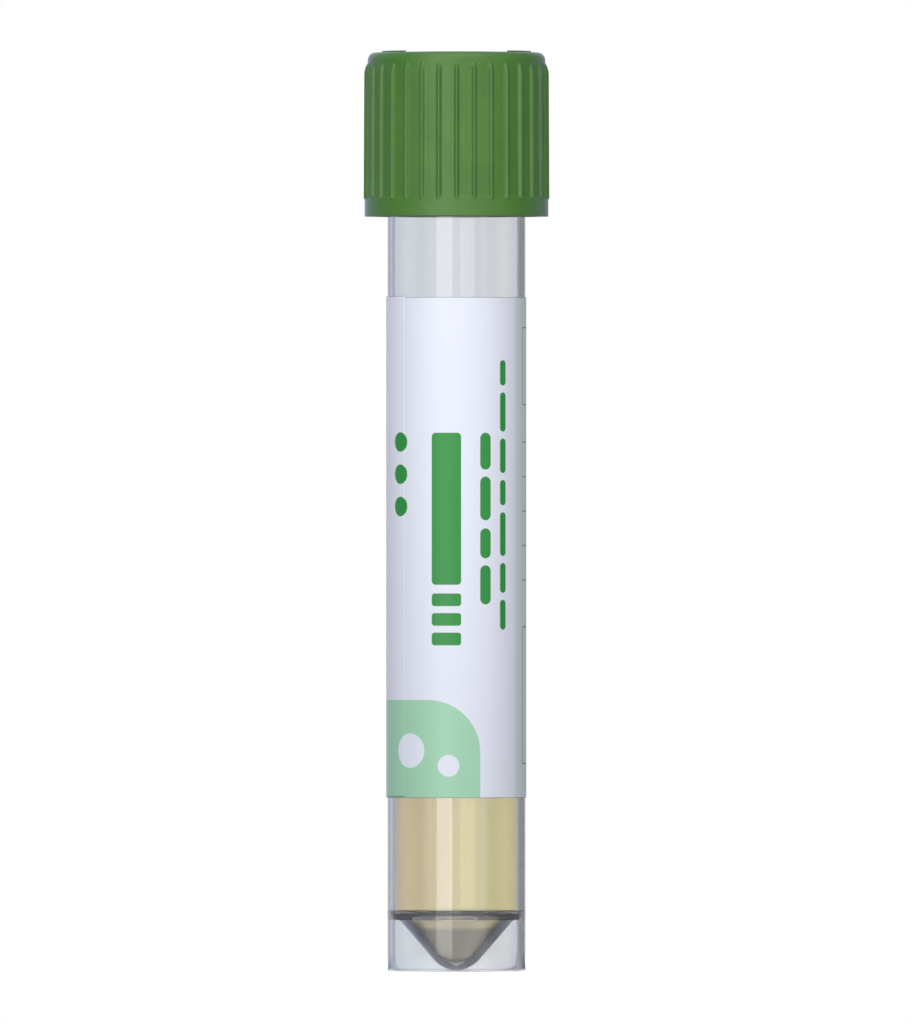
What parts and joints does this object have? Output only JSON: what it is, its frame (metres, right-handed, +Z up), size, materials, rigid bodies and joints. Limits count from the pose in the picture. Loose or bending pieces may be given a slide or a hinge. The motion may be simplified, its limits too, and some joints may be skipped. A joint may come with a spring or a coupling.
{
  "type": "specimen swab tube",
  "caption": "Clear self-standing specimen tube with a conical floor inside an open skirt, liquid transport medium, wrap-round label and ribbed screw cap.",
  "frame": {"origin": "on the tube's axis, in the plane of the skirt's rim that it stands on", "axes": "+Z runs up the tube's axis to the cap; -Y faces the viewer who reads the label; +X is to that viewer's right"},
  "size_m": [0.0162, 0.0162, 0.08],
  "materials": {
    "clear_tube": "clear glossy moulded plastic",
    "liquid_medium": "clear pale amber water-based liquid",
    "printed_label": "satin white label with green print",
    "seal_washer": "matt, off-white",
    "green_cap": "satin moulded plastic"
  },
  "bodies": {
    "tube": {"tube": "clear_tube", "transport_medium": "liquid_medium", "label": "printed_label"},
    "seal": {"lip_seal": "seal_washer"},
    "cap": {"screw_cap": "green_cap"}
  },
  "joints": [
    {"name": "cap_lift", "type": "slide", "parent": "tube", "child": "seal", "axis": [0, 0, 1], "range_m": [0, 0.015]},
    {"name": "cap_turn", "type": "hinge", "parent": "seal", "child": "cap", "pos_m": [0, 0, 0.0656], "axis": [0, 0, 1], "range_deg": [0, 1080]}
  ],
  "couplings": [
    {"joint": "cap_turn", "follows": "cap_lift", "rad_per_m": 1256.6}
  ]
}
